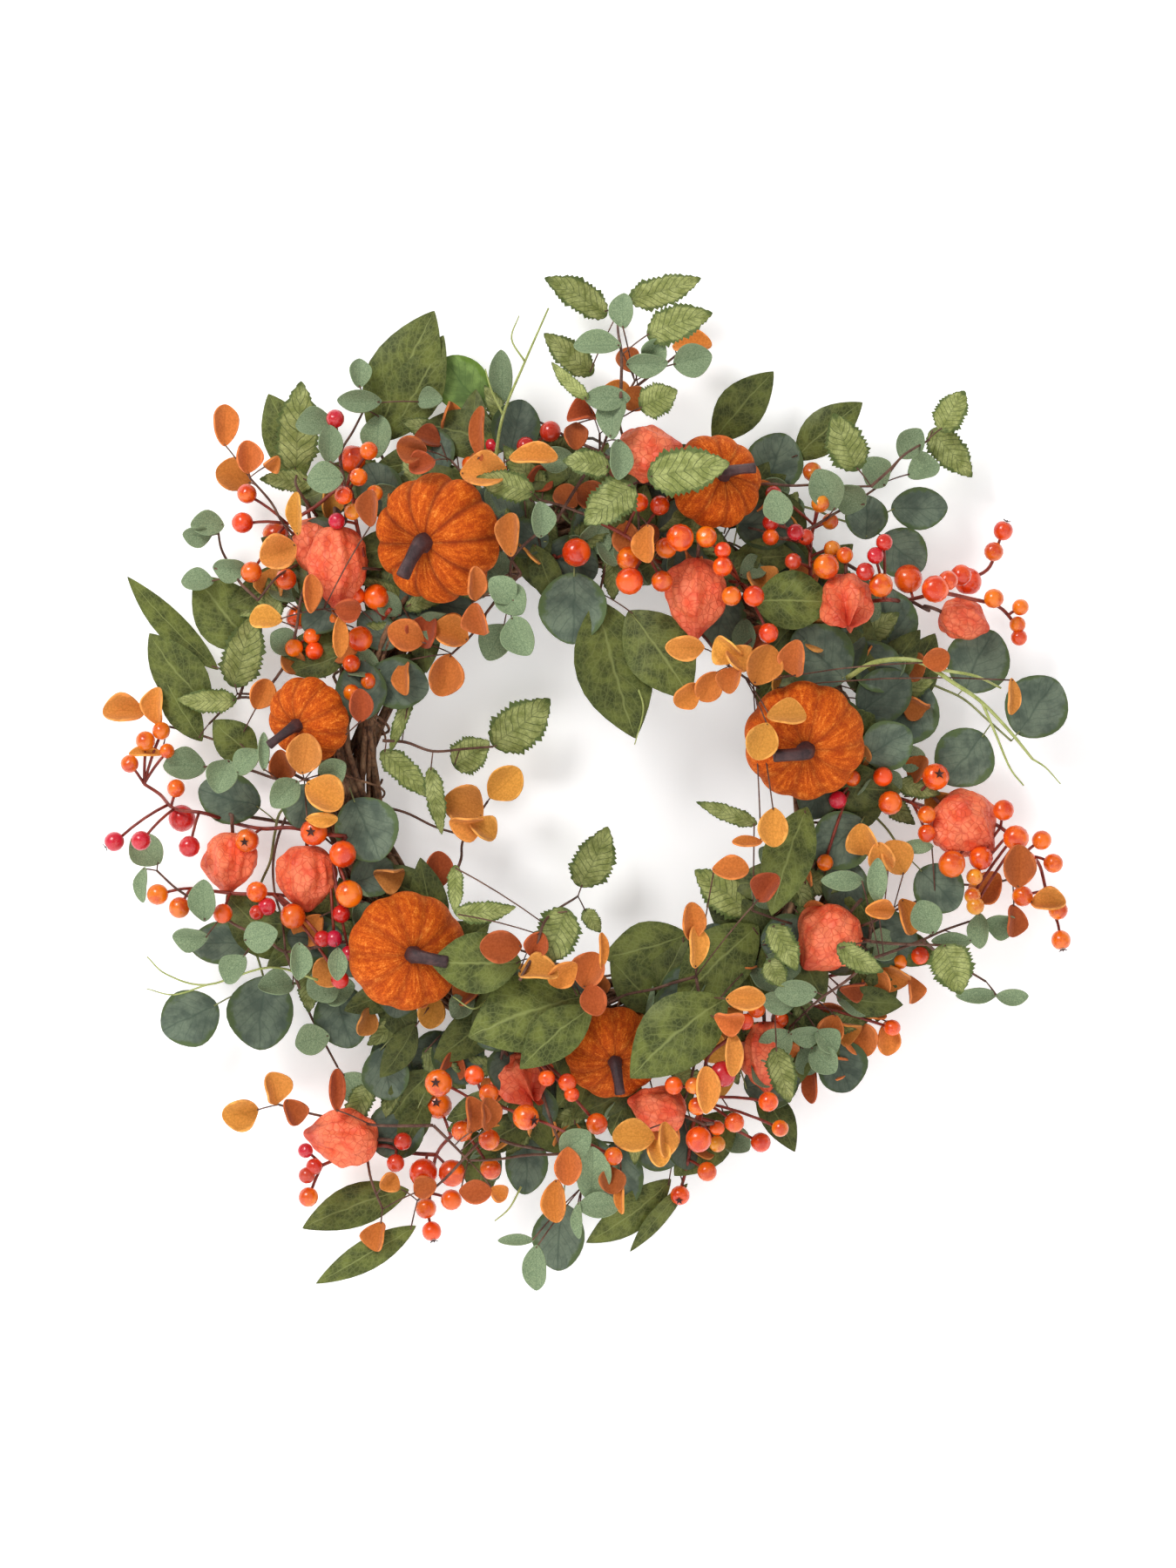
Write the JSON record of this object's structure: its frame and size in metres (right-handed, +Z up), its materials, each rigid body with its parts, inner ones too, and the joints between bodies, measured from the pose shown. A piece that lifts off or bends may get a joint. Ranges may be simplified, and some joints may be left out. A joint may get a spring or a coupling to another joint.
{
  "type": "door wreath",
  "caption": "Round harvest door wreath: velvet pumpkins, paper lantern pods, berries and mixed leaf sprays on a twisted vine ring with a wire hanging loop.",
  "frame": {"origin": "the inside of the hanging loop's top, where a door hook carries it", "axes": "+Z up, -Y out of the door towards the viewer, +X to the viewer's right"},
  "size_m": [0.6731, 0.1366, 0.6972],
  "materials": {
    "vine": "rough dried bark",
    "hanger_wire": "plain steel wire",
    "velvet": "crushed velvet",
    "pumpkin_stem": "matte moulded stem",
    "lantern_paper": "thin papery fabric, wired veins",
    "berry": "satin lacquered foam berry, blushed red",
    "lemon_leaf": "printed matte leaf fabric",
    "eucalyptus_leaf": "printed matte leaf fabric",
    "sage_leaf": "dusty leaf fabric",
    "felt_leaf": "soft felted leaf fabric",
    "mint_leaf": "printed leaf fabric, dark saw-toothed edge"
  },
  "bodies": {
    "wreath": {"berries_bottom": "berry", "berries_left": "berry", "berries_lower_right": "berry", "berries_right": "berry", "berries_top": "berry", "berries_top_left": "berry", "berries_upper_right": "berry", "binding_wire_left": "hanger_wire", "binding_wire_right": "hanger_wire", "eucalyptus_bottom": "eucalyptus_leaf", "eucalyptus_left": "eucalyptus_leaf", "eucalyptus_right": "eucalyptus_leaf", "eucalyptus_top": "eucalyptus_leaf", "felt_bottom": "felt_leaf", "felt_left": "felt_leaf", "felt_lower_right": "felt_leaf", "felt_right": "felt_leaf", "felt_top_left": "felt_leaf", "hanger_bar": "hanger_wire", "lantern_bottom": "lantern_paper", "lantern_far_right": "lantern_paper", "lantern_inner_right": "lantern_paper", "lantern_left": "lantern_paper", "lantern_lower_left": "lantern_paper", "lantern_lower_right": "lantern_paper", "lantern_top": "lantern_paper", "lantern_upper_left": "lantern_paper", "lantern_upper_right": "lantern_paper", "lemon_bottom": "lemon_leaf", "lemon_left": "lemon_leaf", "lemon_right": "lemon_leaf", "lemon_top": "lemon_leaf", "mint_left": "mint_leaf", "mint_lower_right": "mint_leaf", "mint_upper": "mint_leaf", "pumpkin_bottom": "velvet", "pumpkin_bottom_stem": "pumpkin_stem", "pumpkin_left": "velvet", "pumpkin_left_stem": "pumpkin_stem", "pumpkin_lower_left": "velvet", "pumpkin_lower_left_stem": "pumpkin_stem", "pumpkin_right": "velvet", "pumpkin_right_stem": "pumpkin_stem", "pumpkin_top": "velvet", "pumpkin_top_stem": "pumpkin_stem", "pumpkin_upper_left": "velvet", "pumpkin_upper_left_stem": "pumpkin_stem", "sage_bottom": "sage_leaf", "sage_left": "sage_leaf", "sage_lower_right": "sage_leaf", "sage_top": "sage_leaf", "sage_top_left": "sage_leaf", "vine_strand_1": "vine", "vine_strand_2": "vine", "vine_strand_3": "vine", "vine_strand_4": "vine"},
    "hanging_loop": {"hanging_loop": "hanger_wire"},
    "top_mint": {"mint_top": "mint_leaf"},
    "opening_left_mint": {"mint_inner_left": "mint_leaf"},
    "opening_lower_mint": {"mint_inner_bottom": "mint_leaf"}
  },
  "joints": [
    {"name": "loop_swing", "type": "hinge", "parent": "wreath", "child": "hanging_loop", "pos_m": [0, -0.0032, -0.07], "axis": [-1, 0, 0], "range_deg": [0, 180]},
    {"name": "top_mint_bend", "type": "hinge", "parent": "wreath", "child": "top_mint", "pos_m": [0.022, -0.1242, 0.016], "axis": [1, 0, 0], "range_deg": [0, 30]},
    {"name": "opening_left_mint_bend", "type": "hinge", "parent": "wreath", "child": "opening_left_mint", "pos_m": [-0.142, -0.0513, -0.213], "axis": [0, 0, -1], "range_deg": [0, 30]},
    {"name": "opening_lower_mint_bend", "type": "hinge", "parent": "wreath", "child": "opening_lower_mint", "pos_m": [-0.046, -0.122, -0.375], "axis": [1, 0, 0], "range_deg": [0, 30]}
  ]
}
